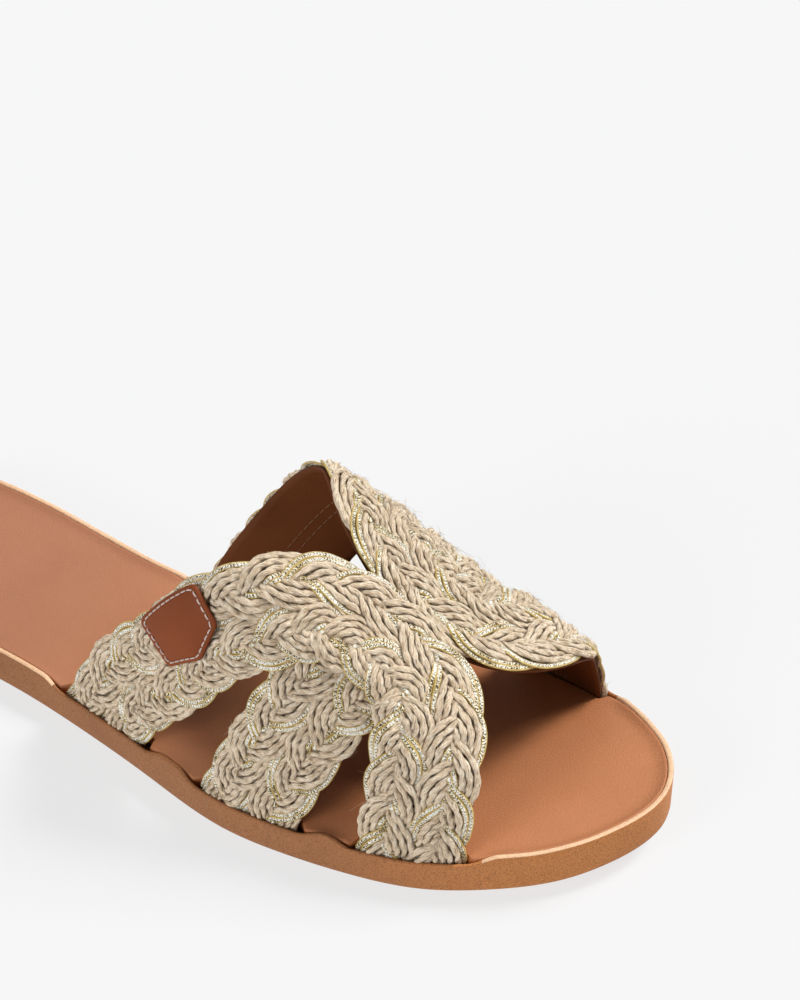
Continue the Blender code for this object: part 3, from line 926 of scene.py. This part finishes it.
def make_sole(straps):
    points = sole_outline(OUTLINE_POINTS)
    spans = leg_spans(straps)
    # painted shade: the sole's side is darker towards the heel, where the light falls off
    side = leather_material("speckled_sole", fleck=(2600.0, (0.62, 0.58, 0.55), (1.12, 1.12, 1.12)),
                            heel=(0.62, 0.66, 0.86), heel_shade_to=(0.06, 0.115))
    edge = leather_material("cut_rim", fleck=(1500.0, (0.88, 0.82, 0.78), (1.05, 1.05, 1.05)))
    # painted shade on the footbed: darker towards the heel, and darker under the straps
    leather = leather_material("footbed_leather", heel=(0.80, 0.84, 1.0), painted_shade_tone=(0.80, 0.66, 0.45))
    sole = outsole_piece(points, spans, side, edge)
    bed = footbed_piece(points, spans, leather)
    for piece, node, slot in ((sole, "outsole", "tan_sole"), (bed, "footbed", "tan_leather")):
        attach(piece, "root")
        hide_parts(node)


def make_patch():
    piece = patch_piece(leather_material("patch_leather"))
    threads = add_mesh("patch_stitches", *join_tubes(patch_stitches()),
                       material=thread_material("pale_thread", (0.72, 0.58, 0.52)))
    for one in (piece, threads):
        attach(one, "root")
        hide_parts("badge")


def make_stage():
    """A plain pale floor with a faint glow of its own, and an even white surrounding."""
    material, _, shader = nodes_of("pale_floor")
    shader.inputs["Base Color"].default_value = (0.15, 0.151, 0.155, 1)
    shader.inputs["Roughness"].default_value = 0.9
    shader.inputs["Specular IOR Level"].default_value = 0.0
    shader.inputs["Emission Color"].default_value = (1.0, 1.0, 1.0, 1)
    shader.inputs["Emission Strength"].default_value = FLOOR_GLOW
    corners = [(x * FLOOR_HALF, y * FLOOR_HALF, 0) for x, y in ((-1, -1), (1, -1), (1, 1), (-1, 1))]
    floor = add_mesh("floor", np.array(corners), [[0, 1, 2, 3]], material=material)
    world = bpy.data.worlds.new("studio")
    world.use_nodes = True
    world.node_tree.nodes["Background"].inputs["Color"].default_value = (1, 1, 1, 1)
    world.node_tree.nodes["Background"].inputs["Strength"].default_value = SURROUNDING
    bpy.context.scene.world = world
    bpy.context.scene.view_settings.view_transform = "Standard"


def camera_axes():
    azimuth, elevation, roll = map(math.radians, (CAMERA_AZIMUTH, CAMERA_ELEVATION, CAMERA_ROLL))
    back = Vector((math.sin(azimuth) * math.cos(elevation), -math.cos(azimuth) * math.cos(elevation),
                   math.sin(elevation)))
    right = Vector((math.cos(azimuth), math.sin(azimuth), 0))
    up = back.cross(right)
    return (math.cos(roll) * right + math.sin(roll) * up, math.cos(roll) * up - math.sin(roll) * right, back)


def make_camera():
    camera = bpy.data.cameras.new("camera")
    camera.sensor_width = SENSOR
    camera.lens = CAMERA_FOCAL / PICTURE_HEIGHT * SENSOR
    camera.clip_start = 0.01
    made = bpy.data.objects.new("camera", camera)
    bpy.context.scene.collection.objects.link(made)
    turn = Matrix(camera_axes()).transposed().to_4x4()
    made.matrix_world = Matrix.Translation(Vector(place(np.array(CAMERA_AT)))) @ turn
    bpy.context.scene.camera = made


def make_light(name, direction, strength, angle, colour):
    """A soft distant light that shines from a direction."""
    light = bpy.data.lights.new(name, "SUN")
    light.energy = strength
    light.angle = math.radians(angle)
    light.color = colour
    made = bpy.data.objects.new(name, light)
    bpy.context.scene.collection.objects.link(made)
    made.rotation_euler = Vector(direction).to_track_quat("Z", "Y").to_euler()


def make_lights():
    right, _, back = camera_axes()
    away = Vector((-back.x, -back.y, 0)).normalized()
    up = Vector((0, 0, 1))
    for name, (to_right, to_far, upward, strength, angle, colour) in LIGHTS.items():
        make_light(name, to_right * right + to_far * away + upward * up, strength, angle, colour)


def main():
    straps = {name: Strap(route, sink, FLARES[name]) for name, (route, sink) in STRAPS.items()}
    make_stage()
    make_camera()
    make_lights()
    make_sole(straps)
    make_upper(straps)
    make_patch()


main()
